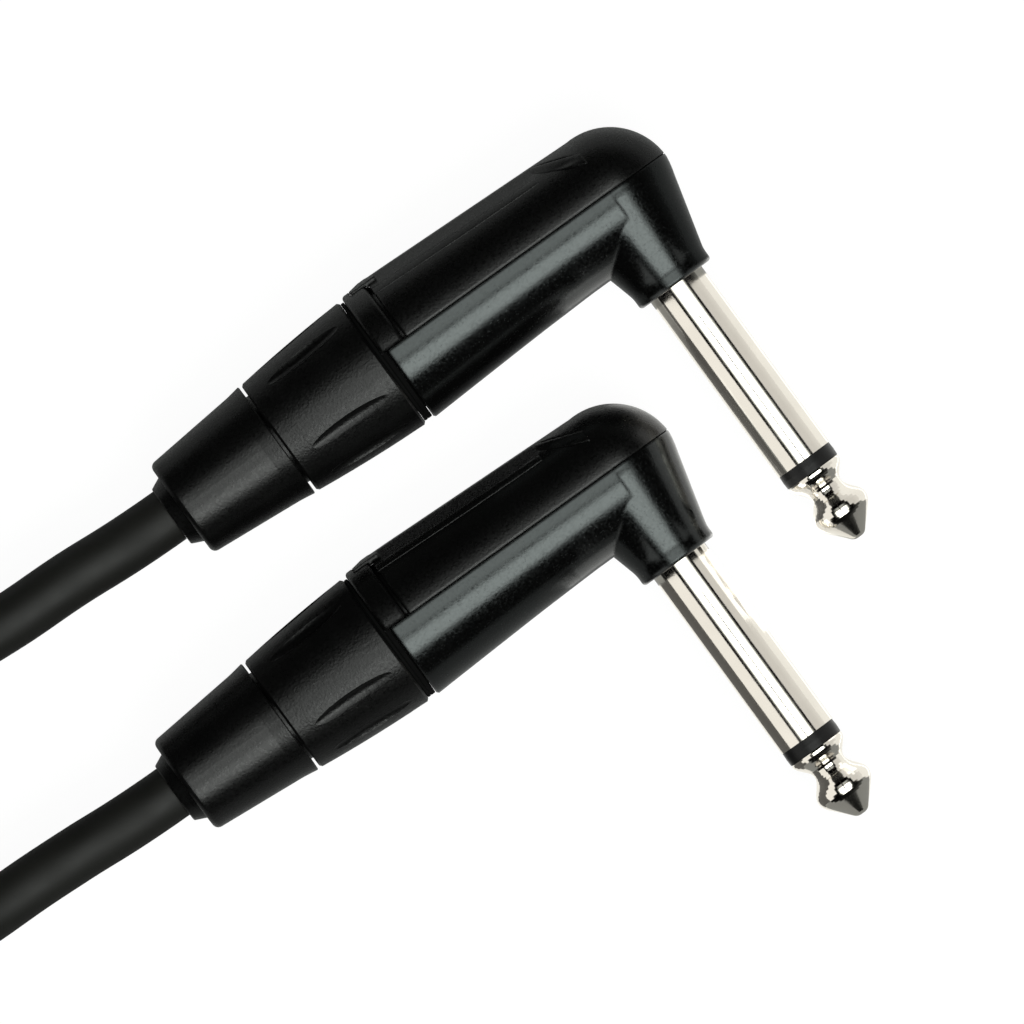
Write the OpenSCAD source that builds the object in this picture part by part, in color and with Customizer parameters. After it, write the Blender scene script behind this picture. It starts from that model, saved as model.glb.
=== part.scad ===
// Instrument cable with a right-angle 6.35 mm two-pole plug at each end.
// Both plugs lie flat side by side. Their cables leave towards -X, their pins point
// towards -Y, and the length between them lies in a tied coil. Sizes are in millimetres.

/* [Pin] */
// Diameter of the pin's barrel
pin_d = 6.35; // [6.3:0.01:6.4]
// Length of the pin from the neck's face to its tip
pin_len = 31.7; // [30.5:0.1:33]
// Length of the tip contact
tip_len = 8.15; // [8:0.05:9]
// Largest diameter of the tip contact
tip_d = 6.3; // [6.1:0.01:6.3]
// Diameter of the waist behind the tip's bulb
tip_waist_d = 3.7; // [3.4:0.1:4]
// Length of the black insulating ring behind the tip
ring_len = 1.5; // [1.2:0.1:2]
// Diameter of the insulating ring
ring_d = 6.24; // [6.1:0.02:6.3]
// Diameter of the rod that joins the tip to its solder tag
rod_d = 2.4; // [2:0.1:2.8]
// Wall of the pin's barrel
barrel_wall = 0.7; // [0.5:0.05:0.9]
// Diameter of the barrel's shank, pressed into the neck
shank_d = 6.8; // [6.6:0.05:7]

/* [Housing] */
// Length of the lower shell behind the pin's axis
shell_len = 27.8; // [26:0.1:30]
// Diameter of the lower shell just behind the nose
shell_front_d = 13.84; // [13.6:0.02:13.9]
// Diameter of the lower shell halfway along
shell_mid_d = 14.18; // [14:0.02:14.4]
// Distance of that middle diameter behind the pin's axis
shell_mid = 14.4; // [12:0.1:16]
// Diameter of the lower shell at its rear edge
shell_rear_d = 15.2; // [14.8:0.02:15.4]
// Distance from the body's axis to the face that the pin stands on
neck_len = 11.15; // [11:0.05:12]
// Diameter of the neck at its lip
neck_d = 8.8; // [8.6:0.1:9.4]
// Height of the neck's lip
lip_len = 1.65; // [1.4:0.05:2]
// Wall of the moulded shells
wall = 1.4; // [1.2:0.05:1.6]
// Height of the seam between shell and cover above the pin's axis
seam_h = 0.42; // [0.3:0.02:0.6]
// Slope of the seam, rising towards the cable, in degrees
seam_slope = 0.53; // [0.3:0.01:0.7]

/* [Cover] */
// Radius of the round nose over the pin
nose_r = 7; // [6.98:0.01:7.1]
// Height of the cover's spine over the pin
spine_h = 7.04; // [7:0.01:7.05]
// Slope of the spine, rising towards the cable, in degrees
spine_slope = 2.13; // [1.8:0.01:2.3]
// Width of the spine's top
spine_w = 2.2; // [2:0.1:3]
// Tilt of the flats beside the spine, in degrees
flank_tilt = 28.5; // [27:0.5:31]
// Gap between cover and collar
cover_gap = 0.35; // [0.2:0.05:0.5]
// Depth of the lip that locates the cover inside the shell
rebate = 0.9; // [0.6:0.05:1.2]
// Thickness of that lip
rebate_t = 0.8; // [0.6:0.05:1]
// Width of the tongue that laps over the collar
tongue_w = 5; // [4:0.1:6]
// Height of the tongue's top above the body's axis
tongue_top = 8; // [7.95:0.01:8.1]

/* [Collar] */
// Diameter of the collar's band
band_d = 15.62; // [15.5:0.02:15.8]
// Length of the collar's band
band_len = 2.65; // [2.4:0.05:3]
// Diameter of the shoulder that the nut closes on
shoulder_d = 14.2; // [13.8:0.1:14.6]
// Length of the shoulder in the groove beside the nut
shoulder_len = 0.4; // [0.3:0.05:0.6]
// Outside diameter of the threaded tube
thread_d = 12.4; // [12.2:0.1:12.6]
// Length of the threaded tube under the nut
thread_len = 6; // [5:0.5:6.5]
// Bore of the collar
collar_bore = 9.8; // [9.6:0.1:10]

/* [Nut] */
// Length of the clamping nut
nut_len = 13; // [12.6:0.1:14]
// Diameter of the nut beside the collar
nut_front_d = 15.2; // [15:0.05:15.6]
// Diameter of the nut beside the boot
nut_rear_d = 13.3; // [13.2:0.05:13.6]
// How far the nut's side bows out between its ends
nut_bow = 0.12; // [0.05:0.01:0.2]
// Length of a finger recess
grip_len = 10; // [8:0.5:10.5]
// Width of a finger recess
grip_w = 1.7; // [1.4:0.1:2]
// Depth of a finger recess
grip_depth = 0.4; // [0.3:0.05:0.45]
// Angle between neighbouring finger recesses, in degrees
grip_pitch = 36; // [34:1:38]

/* [Boot] */
// Length of the boot's outer cone
boot_len = 12; // [11:0.1:14]
// Diameter of the boot at its rear end
boot_rear_d = 11.1; // [10.6:0.1:11.6]
// Gap between nut and boot
boot_gap = 0.3; // [0.2:0.05:0.5]
// Length of the cuff that the cable leaves
cuff_len = 1.25; // [1:0.05:2]
// Diameter of the cuff at its mouth
cuff_d = 6.7; // [6.7:0.1:7.2]
// Diameter of the bead that holds the boot in the nut
bead_d = 11.7; // [11.5:0.1:11.8]

/* [Collet] */
// Number of slots between the collet's fingers
slot_count = 4; // [3:1:6]
// Width of a slot
slot_w = 0.8; // [0.5:0.1:1]
// Length of the collet inside the collar
collet_len = 7.4; // [6:0.1:8]

/* [Cable] */
// Outside diameter of the cable
cable_d = 5.9; // [5.7:0.05:5.95]
// Diameter of the insulated inner conductor
core_d = 2.6; // [2.2:0.1:2.6]
// Diameter of the twisted screen wires
screen_d = 1.6; // [1.2:0.1:1.6]

/* [Layout] */
// Distance of the second plug behind the first, along the cables
plug_step_x = 16.3; // [14:0.1:18]
// Distance of the second plug from the first, along the pins
plug_step_y = 22.9; // [22.5:0.1:26]

/* [Coil] */
// Diameter of the coil at the middle of its turns
coil_d = 61.6; // [60:0.1:66]
// Distance between neighbouring turns and between layers
coil_pitch = 6.35; // [6.35:0.01:6.6]
// Distance of the coil's centre from the origin, along the cables
coil_x = 125; // [122:0.5:130]
// Distance of the coil's centre from the origin, across the cables
coil_y = 14; // [12:0.5:16]
// Width of a tie strap
tie_w = 8; // [6:0.5:10]
// Thickness of a tie strap
tie_t = 1; // [0.8:0.1:1.5]

/* [Hidden] */
$fn = 96;

gloss_black = "#17181a";
satin_black = "#1f1f20";
rubber_black = "#242423";
ring_black = "#101011";
nickel = "#d2cfc8";
tinned = "#b9b7b0";
solder_grey = "#c9c9c6";
fibre = "#5a3d2b";
acetal = "#d8d5cc";
core_red = "#8f2f2a";
copper = "#a9683f";

// Fits
press = 0.02;                        // air between pieces that are pressed or clamped together
running = 0.05;                      // air where the nut and the boot turn and slide
sliding = 0.1;                       // air round the cover's lip and tongue
easing = 0.3;                        // air between the coil and its ties
seam_gap = 0.12;                     // the seam's dark line

// Distances down the pin from the body's axis
floor_h = 4.6;                       // floor that the barrel's head stands on
head_t = 0.6;                        // head of the barrel
tag_t = 0.5;                         // sheet that the solder tags are cut from
washer_t = 0.6;                      // fibre washer between the tags
rivet_t = 0.5;                       // rod's end, riveted over its tag
ground_tag_h = floor_h - head_t - tag_t;
washer_h = ground_tag_h - washer_t;
tip_tag_h = washer_h - tag_t;
tip_end_h = neck_len + pin_len;
ring_end_h = tip_end_h - tip_len;
barrel_end_h = ring_end_h - ring_len;

// Distances back along the cable from the pin's axis
rim_gap = 0.55;                      // groove behind the lower shell
band_end = shell_len + rim_gap;
band_start = band_end - band_len;
cover_end = band_start - cover_gap;
tongue_end = cover_end + 2;
tube_start = cover_end - 1;
seat = band_end + shoulder_len;
nut_start = seat + running;
nut_end = nut_start + nut_len;
tube_end = nut_start + thread_len;
boot_start = nut_end + boot_gap;
boot_end = boot_start + boot_len;
mouth = boot_end + cuff_len;
jacket_start = 19;                   // where the cable's jacket is stripped
tip_tag_reach = 10;
ground_tag_reach = 16;

// Inside the nut
nut_lip = 1;                         // lip that holds the boot's bead
nut_lip_r = 5.4;
nut_pocket = 2.2;                    // pocket that the bead turns in
nut_web = 0.4;                       // wall between pocket and cone
pocket_start = nut_end - nut_lip - nut_pocket;
cone_end = pocket_start - nut_web;
cone_start = tube_end + 0.2;
cone_front_r = 5.4;
cone_rear_r = 3.9;
cone_air = 0.08;                     // air between the cone and the collet

// Radii
barrel_r = pin_d / 2;
barrel_bore_r = barrel_r - barrel_wall;
barrel_head_r = 4.3;
shank_r = shank_d / 2;
rod_r = rod_d / 2;
rod_bore_r = rod_r + press;
insulator_r = barrel_bore_r - press;
cable_r = cable_d / 2;
boot_bore_r = cable_r + 0.12;
neck_r = neck_d / 2;
tube_r = thread_d / 2;
band_r = band_d / 2;
band_corner = 0.4;
lap = 0.35;                          // how far the collar reaches under the cover's end
lap_r = band_r - 0.85;
groove = 0.5;                        // depth of the seam's groove
tongue_t = 0.45;                   // how deep the tongue is let into the band
shell_front_r = shell_front_d / 2;
neck_top_r = shell_front_r - press;
shell_mid_r = shell_mid_d / 2;
shell_rear_r = shell_rear_d / 2;
cavity_r = shell_front_r - wall;
well_r = cavity_r - 0.12;            // cavity under the nose
well_floor_r = 4.9;                  // the same at its floor
bead_r = bead_d / 2;
nose_back = 0.1;                     // the nose's centre lies a little behind the pin's axis
nose_up = 0.08;                      // and a little over the body's

// The two plugs' places: together they stand centred on the origin, on their bands' lower ends
seam_on_band = (seam_h + seam_gap / 2) / cos(seam_slope) + (band_start + band_corner) * tan(seam_slope);
axis_z = sqrt(band_r * band_r - seam_on_band * seam_on_band);
nose_front = nose_r - nose_back;
cut = mouth + nose_r;                // boxes this size cut each plug at its seam
plug_a = [(mouth + plug_step_x - nose_front) / 2, (tip_end_h + plug_step_y - tongue_top) / 2, axis_z];
plug_b = plug_a - [plug_step_x, plug_step_y, 0];

// Coil: spirals in and out in four layers, wound from the second plug to the first
layers = 4;
whole_turns = 14;
coil_start_angle = 315;
coil_end_angle = 60;
coil_turns = whole_turns + (coil_start_angle - coil_end_angle) / 360;
layer_turns = coil_turns / layers;
rings_per_turn = 24;
coil_sides = 6;
coil_out_r = (coil_d + layer_turns * coil_pitch) / 2;
coil_in_r = coil_out_r - layer_turns * coil_pitch;
coil_z = tie_t + cable_r;
coil_top = coil_z + (layers - 1) * coil_pitch + cable_r;

// Free lengths: points chosen by hand between each plug and the coil
lead_sides = 10;
lead_straight = 9;
coil_run = 8;
lead_a_points = [[-43, 29.7, 7.9], [-52, 31, 9.7], [-61, 33, 12.7], [-70, 35.8, 16], [-79, 39.2, 19.3]];
lead_b_points = [[-60, 7, 6.6], [-66, 6.9, 5.8], [-72, 5, 5], [-78.7, 0.3, 4.3]];

// ---------- helpers ----------

// Stands a piece along the cable: its Z runs back from the pin's axis.
module back() { rotate([0, -90, 0]) children(); }

// Stands a piece along the pin: its Z runs down from the body's axis.
module down() { rotate([90, 0, 0]) children(); }

module at_a() { translate(plug_a) children(); }

module at_b() { translate(plug_b) children(); }

// A solid of revolution from points [radius, distance].
module turned(points) { rotate_extrude() polygon(points); }

// Keeps what lies under the seam, shifted up by a distance.
module under_seam(shift) {
    intersection() {
        children();
        rotate([0, 0, -seam_slope]) translate([-cut, seam_h + shift - cut, -cut / 2]) cube([2 * cut, cut, cut]);
    }
}

// Keeps what lies over the seam, shifted up by a distance.
module over_seam(shift) {
    intersection() {
        children();
        rotate([0, 0, -seam_slope]) translate([-cut, seam_h + shift, -cut / 2]) cube([2 * cut, cut, cut]);
    }
}

// Points of an arc about [x, y], from one angle to another.
function arc(x, y, r, from, to, steps = 5) =
    [for (i = [0 : steps]) let (a = from + (to - from) * i / steps) [x + r * cos(a), y + r * sin(a)]];

function unit(v) = v / norm(v);

// Direction of a path at point i.
function heading(path, i) = unit(path[min(i + 1, len(path) - 1)] - path[max(i - 1, 0)]);

// One ring of a tube round point i, its first corner on top.
function tube_ring(path, i, r, sides) =
    let (ahead = heading(path, i), side = unit(cross(ahead, [0, 0, 1])), up = cross(side, ahead))
    [for (k = [0 : sides - 1]) let (a = 360 * k / sides) path[i] + r * (cos(a) * up + sin(a) * side)];

// A closed tube along a path, made of triangles.
module tube(path, r, sides) {
    corners = [for (i = [0 : len(path) - 1]) each tube_ring(path, i, r, sides)];
    walls = [
        for (i = [0 : len(path) - 2], k = [0 : sides - 1])
            let (a = i * sides + k, b = i * sides + (k + 1) % sides)
            each [[a, a + sides, b + sides], [a, b + sides, b]]
    ];
    first = [for (k = [1 : sides - 2]) [0, k, k + 1]];
    end = (len(path) - 1) * sides;
    last = [for (k = [1 : sides - 2]) [end, end + k + 1, end + k]];
    polyhedron(points = corners, faces = concat(walls, first, last), convexity = 10);
}

function path_length(path) =
    let (steps = [for (i = [1 : len(path) - 1]) norm(path[i] - path[i - 1])])
    steps * [for (s = steps) 1];

// ---------- shells ----------

// Radius of the lower shell at a distance behind the pin.
function shell_r(d) =
    shell_mid_r + (shell_rear_r - shell_mid_r) * (d - shell_mid) / (shell_len - shell_mid);

// The tapered body, up to a distance behind the pin.
module body_form(length) {
    flare_start = shell_mid / 2;
    edge = 0.2;
    back() turned([
        [0, 0], [shell_front_r, 0], [shell_front_r, flare_start],
        [shell_mid_r, shell_mid], [shell_r(length - edge), length - edge],
        [shell_r(length) - edge, length], [0, length]
    ]);
}

// The neck that swells a little under the seam, narrows to the pin and eases into its lip.
module neck_form() {
    above = 1;                       // the seam cuts it off
    swell = 2.1;
    ease = 4;
    flare = 15;
    corner = 0.4;
    down() turned(concat(
        [[0, -above], [neck_top_r, -above], [neck_top_r, 0]],
        [for (s = [1 : 3]) [neck_top_r - 0.46 * pow(s / 3, 1.4), swell * s / 3]],
        arc(neck_r + ease, neck_len - lip_len / 2, ease, 180 + flare, 180),
        arc(neck_r - corner, neck_len - corner, corner, 0, 90),
        [[0, neck_len]]
    ));
}

// The channel for the cable's end.
module channel(r) {
    start = well_floor_r - wall;
    back() translate([0, 0, start]) cylinder(r = r, h = tube_start - start);
}

// The well under the nose, for the solder tags.
module well(r) {
    shoulder = nose_r - wall;
    slope = 2.2;
    step = 0.7;
    floor_r = min(r, well_floor_r);
    down() turned([
        [0, -shoulder], [r - slope, -shoulder], [r, slope - shoulder], [r, ground_tag_h - 2 * step],
        [floor_r, ground_tag_h - step], [floor_r, floor_h], [0, floor_h]
    ]);
}

// Room for the collar's tube.
module collar_room() {
    back() translate([0, 0, tube_start - running]) cylinder(r = tube_r + press, h = shell_len);
}

module housing() color(gloss_black) {
    difference() {
        under_seam(-seam_gap / 2) union() {
            body_form(shell_len);
            neck_form();
        }
        channel(cavity_r);
        well(well_r);
        collar_room();
        down() cylinder(r = shank_r + press, h = neck_len + 1);
    }
}

// The round nose over the pin.
module nose_form(r = nose_r) { translate([-nose_back, nose_up, 0]) sphere(r); }

// Everything under the cover's rising top line.
module crown_form(length) {
    rise = tan(spine_slope);
    back() turned([[0, 0], [spine_h, 0], [spine_h + rise * length, length], [0, length]]);
}

// The spine's flanks: flats that leave the round body along a soft line.
module flank_form() {
    half = spine_w / 2;
    depth = 1.3;
    foot = half + depth / tan(flank_tilt);
    inside = 3;
    rotate([0, 0, -spine_slope]) back() linear_extrude(cover_end + 2)
        polygon([[-half, spine_h], [half, spine_h], [foot, spine_h - depth], [foot, inside],
                 [-foot, inside], [-foot, spine_h - depth]]);
}

// Behind this slanting crest the spine has flanks, and in front of it the crown is round.
module crest_form() {
    crest_back = 5.3;
    crest_foot = 5.3;
    above = spine_h + 2;
    translate([0, 0, -nose_r]) linear_extrude(2 * nose_r)
        polygon([[-crest_back, spine_h + 0.2], [0, crest_foot], [0, above], [-crest_back, above]]);
}

// The tongue that laps into the collar's band.
module tongue() {
    root = cover_end - 1;
    ramp = 1.2;
    under = band_r - tongue_t;
    intersection() {
        translate([0, 0, -tongue_w / 2]) linear_extrude(tongue_w)
            polygon([[-root, under - tongue_t], [-root, tongue_top - 0.15], [-cover_end, tongue_top],
                     [ramp - tongue_end, tongue_top], [-tongue_end, band_r], [-tongue_end, under],
                     [sliding - band_start, under], [sliding - band_start, lap_r + sliding],
                     [-cover_end, lap_r + sliding]]);
        back() cylinder(r = tongue_top, h = tongue_end + 1);
    }
}

// The land behind the seam's groove, where the cover rests on the shell.
module land() {
    under_seam(seam_gap) over_seam(press - seam_gap / 2) {
        back() cylinder(r = shell_front_r - groove, h = cover_end - groove);
        nose_form(nose_r - groove);
    }
}

// The rim inside the cover, which stands on its wall and reaches down into the shell.
module rim() {
    up = 1;
    difference() {
        union() {
            under_seam(up) over_seam(-rebate) union() {
                channel(cavity_r - sliding);
                down() translate([0, 0, -up - rebate - seam_h]) cylinder(r = well_r - sliding, h = 4);
            }
            under_seam(up) over_seam(seam_gap / 2) union() {
                channel(cavity_r + sliding);
                down() translate([0, 0, -up - rebate - seam_h]) cylinder(r = well_r + sliding, h = 4);
            }
        }
        channel(cavity_r - sliding - rebate_t);
        down() translate([0, 0, -nose_r]) cylinder(r = well_r - sliding - rebate_t, h = 2 * nose_r);
        collar_room();
    }
}

module cover() color(satin_black) {
    union() {
        difference() {
            over_seam(seam_gap / 2) union() {
                body_form(cover_end);
                nose_form();
                intersection() {
                    crown_form(cover_end);
                    union() {
                        flank_form();
                        crest_form();
                    }
                }
                tongue();
            }
            channel(cavity_r);
            well(well_r);
            collar_room();
            back() translate([0, 0, cover_end - lap]) cylinder(r = lap_r + sliding, h = 2 * lap);
        }
        difference() {
            land();
            channel(cavity_r);
            well(well_r);
            collar_room();
        }
        rim();
    }
}

// ---------- cable clamp ----------

// A threaded tube that the shells close on, a shoulder for the nut, and the band over the seam.
module collar() color(satin_black) {
    chamfer = 0.4;
    inside = 0.5;                    // the band starts a little inside the tube's wall
    difference() {
        union() {
            back() turned([
                [collar_bore / 2, tube_start], [tube_r, tube_start], [tube_r, shell_len + running],
                [shoulder_d / 2, shell_len + running], [shoulder_d / 2, seat], [tube_r, seat],
                [tube_r, tube_end - chamfer], [tube_r - chamfer, tube_end], [collar_bore / 2, tube_end]
            ]);
            over_seam(seam_gap / 2) back() turned(concat(
                [[tube_r - inside, cover_end - lap + sliding], [lap_r, cover_end - lap + sliding],
                 [lap_r, band_start]],
                arc(band_r - band_corner, band_start + band_corner, band_corner, -90, 0),
                arc(band_r - band_corner, band_end - band_corner, band_corner, 0, 90),
                [[tube_r - inside, band_end]]
            ));
        }
        translate([-tongue_end - sliding, band_r - tongue_t - sliding, -tongue_w / 2 - sliding])
            cube([tongue_end - tube_start, 2, tongue_w + 2 * sliding]);
    }
}

// A cutter for one finger recess: a barrel that dips into the nut's side.
module grip() {
    dip = grip_depth - pow(grip_w / 2, 2) / nut_front_d;
    dip_r = (pow(grip_w / 2, 2) + dip * dip) / (2 * dip);
    curve_r = (pow(grip_len / 2, 2) + grip_depth * grip_depth) / (2 * grip_depth);
    reach = asin((grip_len / 2 + 0.4) / curve_r);
    middle = (nut_start + nut_end) / 2 - 0.3;
    side_r = (nut_front_d + nut_rear_d) / 4 + nut_bow;
    lean = atan((nut_front_d - nut_rear_d) / 2 / nut_len);
    translate([-middle, 0, side_r + dip_r - grip_depth]) rotate([0, -90 - lean, 0])
        turned(concat(
            [[0, -curve_r * sin(reach)]],
            arc(dip_r - curve_r, 0, curve_r, -reach, reach, 8),
            [[0, curve_r * sin(reach)]]
        ));
}

// The nut: threaded at the front, a cone that closes the collet, and a pocket for the boot's bead.
module clamp_nut() color(satin_black) {
    edge = 0.25;
    front_r = nut_front_d / 2;
    rear_r = nut_rear_d / 2;
    span = nut_len - 2 * edge;
    steps = 6;
    pocket_r = bead_r + sliding;
    first_grip = 48;
    grips_each_side = 4;
    difference() {
        back() turned(concat(
            [[tube_r + running, nut_start], [front_r - edge, nut_start]],
            [for (i = [0 : steps]) let (s = i / steps)
                [front_r + (rear_r - front_r) * s + nut_bow * 4 * s * (1 - s), nut_start + edge + span * s]],
            [[rear_r - edge, nut_end], [nut_lip_r, nut_end], [nut_lip_r, nut_end - nut_lip],
             [pocket_r, nut_end - nut_lip], [pocket_r, pocket_start],
             [cone_rear_r, pocket_start], [cone_rear_r, cone_end], [cone_front_r, cone_start],
             [tube_r + running, cone_start]]
        ));
        for (side = [0, 180], i = [0 : grips_each_side - 1])
            rotate([-first_grip - side - i * grip_pitch, 0, 0]) grip();
    }
}

// The rubber boot: a bead that turns in the nut, an outer cone, and a cuff round the cable.
module boot() color(rubber_black) {
    corner = 0.7;
    chamfer = 0.4;
    edge = 0.1;
    front_r = nut_rear_d / 2;
    flare = 0.25;
    flare_len = 1.7;
    rear_r = boot_rear_d / 2;
    rounding = 80;
    cuff_r = cuff_d / 2;
    bead_end = nut_end - nut_lip - sliding;
    back() turned(concat(
        [[boot_bore_r, pocket_start + running], [bead_r - chamfer, pocket_start + running],
         [bead_r, pocket_start + chamfer], [bead_r, bead_end],
         [nut_lip_r - running, bead_end], [nut_lip_r - running, boot_start],
         [front_r - edge, boot_start], [front_r, boot_start + edge],
         [front_r - flare, boot_start + flare_len]],
        arc(rear_r - corner, boot_end - corner, corner, 0, rounding),
        [[cuff_r + cuff_len / 2, boot_end], [cuff_r + edge, mouth - edge],
         [cuff_r, mouth], [boot_bore_r, mouth]]
    ));
}

// The split collet that the nut's cone closes on the cable.
module collet() color(acetal) {
    head_r = collar_bore / 2 - running;
    head_start = tube_end - collet_len;
    slot_start = head_start + 2.5;
    flange_at = tube_end + press;
    tail = cone_end - sliding;
    slope = (cone_front_r - cone_rear_r) / (cone_end - cone_start);
    difference() {
        back() turned([
            [cable_r + press, head_start], [head_r, head_start], [head_r, flange_at],
            [cone_front_r - cone_air, flange_at], [cone_front_r - cone_air, cone_start],
            [cone_rear_r + slope * sliding - cone_air, tail], [cable_r + press, tail]
        ]);
        for (i = [0 : slot_count - 1])
            rotate([i * 360 / slot_count, 0, 0])
                translate([-cone_end, -slot_w / 2, 0])
                    cube([cone_end - slot_start, slot_w, tube_r]);
    }
}

// ---------- pin ----------

module barrel() color(nickel) {
    down() turned([
        [barrel_bore_r, floor_h - head_t], [barrel_head_r, floor_h - head_t], [barrel_head_r, floor_h],
        [shank_r, floor_h], [shank_r, neck_len], [barrel_r, neck_len], [barrel_r, barrel_end_h],
        [barrel_bore_r, barrel_end_h]
    ]);
}

module insulator() color(ring_black) {
    ring_r = ring_d / 2;
    crown = 0.04;
    down() turned([
        [rod_bore_r, ground_tag_h], [insulator_r, ground_tag_h], [insulator_r, barrel_end_h],
        [ring_r - crown, barrel_end_h], [ring_r, (barrel_end_h + ring_end_h) / 2],
        [ring_r - crown, ring_end_h], [rod_bore_r, ring_end_h]
    ]);
}

// The tip: a short collar, a waist, and a bulb that runs out in a blunt cone.
module tip() color(nickel) {
    tip_r = tip_d / 2;
    collar_r = tip_r - 0.05;
    edge = 0.1;
    waist_r = tip_waist_d / 2;
    rivet_r = rod_r + 0.7;
    collar_end = ring_end_h + 0.2;
    waist_h = ring_end_h + 2.3;
    bulb_h = ring_end_h + 4.7;
    bulb_curve = 1.7;
    cone_angle = 42;
    blunt_curve = 0.9;
    blunt_r = 0.23;
    steps = 8;
    down() turned(concat(
        [[0, tip_tag_h - rivet_t], [rivet_r, tip_tag_h - rivet_t], [rivet_r, tip_tag_h],
         [rod_r, tip_tag_h], [rod_r, ring_end_h], [collar_r - edge, ring_end_h]],
        [for (i = [0 : steps - 1]) let (s = i / steps)
            [waist_r + (collar_r - waist_r) * (1 + cos(180 * s)) / 2, collar_end + (waist_h - collar_end) * s]],
        [for (i = [0 : steps - 1]) let (s = i / steps)
            [waist_r + (tip_r - waist_r) * (1 - cos(180 * s)) / 2, waist_h + (bulb_h - waist_h) * s]],
        arc(tip_r - bulb_curve, bulb_h, bulb_curve, 0, cone_angle),
        arc(blunt_r, tip_end_h - blunt_curve, blunt_curve, cone_angle, 90),
        [[0, tip_end_h]]
    ));
}

module insulating_washer() color(fibre) {
    washer_r = barrel_head_r - 0.7;
    down() translate([0, 0, washer_h]) difference() {
        cylinder(r = washer_r, h = washer_t);
        translate([0, 0, -1]) cylinder(r = rod_bore_r, h = washer_t + 2);
    }
}

// A solder tag: a ring with a tab that runs back under the cable's end.
module tag(height, ring_r, hole_r, reach, tab_w) {
    eye_r = 0.6;
    end = tab_w / 2 - reach;
    down() translate([0, 0, height]) linear_extrude(tag_t) difference() {
        union() {
            circle(ring_r);
            translate([end, -tab_w / 2]) square([-end, tab_w]);
            translate([end, 0]) circle(tab_w / 2);
        }
        circle(hole_r);
        translate([end, 0]) circle(eye_r);
    }
}

module tip_tag() color(tinned) {
    tag(tip_tag_h, rod_r + 1.4, rod_bore_r, tip_tag_reach, rod_d);
}

module ground_tag() color(tinned) {
    tag(ground_tag_h, barrel_head_r - 0.1, barrel_bore_r + press, ground_tag_reach, barrel_head_r);
}

// ---------- wiring ----------

// The end of the cable's jacket, from where it is stripped to the boot's mouth.
module cable_end() color(rubber_black) {
    back() translate([0, 0, jacket_start]) cylinder(r = cable_r, h = mouth - jacket_start);
}

// Where the wires end on their tags
core_end = [1.6 - tip_tag_reach, core_d / 2 + press - tip_tag_h, 0];
screen_end = [3.2 - ground_tag_reach, screen_d / 2 + press - ground_tag_h, 0];
screen_start = [-jacket_start, -(core_d + screen_d) / 2 - press, 0];
wire_sides = 8;

module core() color(core_red) {
    core_start = [-jacket_start, 0, 0];
    bend = core_end - core_start - [3.6, 0, 0];
    tube([core_start, core_start + [2.6, 0, 0], core_start + [2.6 + bend[0] * 0.3, bend[1] * 0.3, 0],
          core_start + [2.6 + bend[0] * 0.7, bend[1] * 0.8, 0], core_end - [1, 0, 0], core_end],
         core_d / 2, wire_sides);
}

module screen() color(copper) {
    tube([screen_start, screen_start + [1.6, 0, 0], (screen_start + screen_end) / 2 + [0.3, 0, 0],
          screen_end - [1, 0, 0], screen_end], screen_d / 2, wire_sides);
}

// A drop of solder on a tag, in front of a wire's end.
module drop(x, height, r) {
    down() translate([x + r + press, 0, height]) intersection() {
        sphere(r);
        translate([-r, -r, -r]) cube([2 * r, 2 * r, r]);
    }
}

module solder() color(solder_grey) {
    drop(core_end[0], tip_tag_h, 1.2);
    drop(screen_end[0], ground_tag_h, 0.9);
}

// ---------- cord ----------

function climb(t) =
    let (steps = [for (j = [1 : layers - 1]) min(max((t - j * layer_turns + 0.25) / 0.5, 0), 1)])
    [for (s = steps) (1 - cos(180 * s)) / 2] * [for (s = steps) 1];

// A point of the coil after t turns.
function coil_point(t) =
    let (
        layer = min(floor(t / layer_turns), layers - 1),
        u = (t - layer * layer_turns) * coil_pitch,
        r = layer % 2 == 0 ? coil_out_r - u : coil_in_r + u,
        a = coil_start_angle - 360 * t
    )
    [-coil_x + r * cos(a), coil_y + r * sin(a), coil_z + coil_pitch * climb(t)];

coil_rings = round(coil_turns * rings_per_turn);
coil_turns_path = [for (i = [0 : coil_rings]) coil_point(coil_turns * i / coil_rings)];
coil_first = coil_turns_path[0];
coil_last = coil_turns_path[coil_rings];
out_b = unit(coil_first - coil_point(0.001));
out_a = unit(coil_last - coil_point(coil_turns - 0.001));
coil_path = concat([coil_first + cable_d * out_b], coil_turns_path, [coil_last + cable_d * out_a]);

// Least distance between turns that lie half a turn or more apart, less the cable.
function least_gap(path, apart) =
    let (last = len(path) - 1)
    min([for (i = [0 : last - apart]) min([for (j = [i + apart : last]) norm(path[i] - path[j])])]) - cable_d;

function lead_path(plug, points, end, way) =
    let (exit = plug - [mouth, 0, 0])
    concat([exit, exit - [lead_straight, 0, 0]], points, [end + coil_run * way, end]);

lead_a_path = lead_path(plug_a, lead_a_points, coil_path[len(coil_path) - 1], out_a);
lead_b_path = lead_path(plug_b, lead_b_points, coil_path[0], out_b);

module cord_lead_a() color(rubber_black) { tube(lead_a_path, cable_r, lead_sides); }

module cord_lead_b() color(rubber_black) { tube(lead_b_path, cable_r, lead_sides); }

module cord_coil() color(rubber_black) {
    echo(coil_least_gap = least_gap(coil_turns_path, rings_per_turn / 2));
    echo(cord_length = path_length(coil_path) + path_length(lead_a_path) + path_length(lead_b_path));
    tube(coil_path, cable_r, coil_sides);
}

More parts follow.
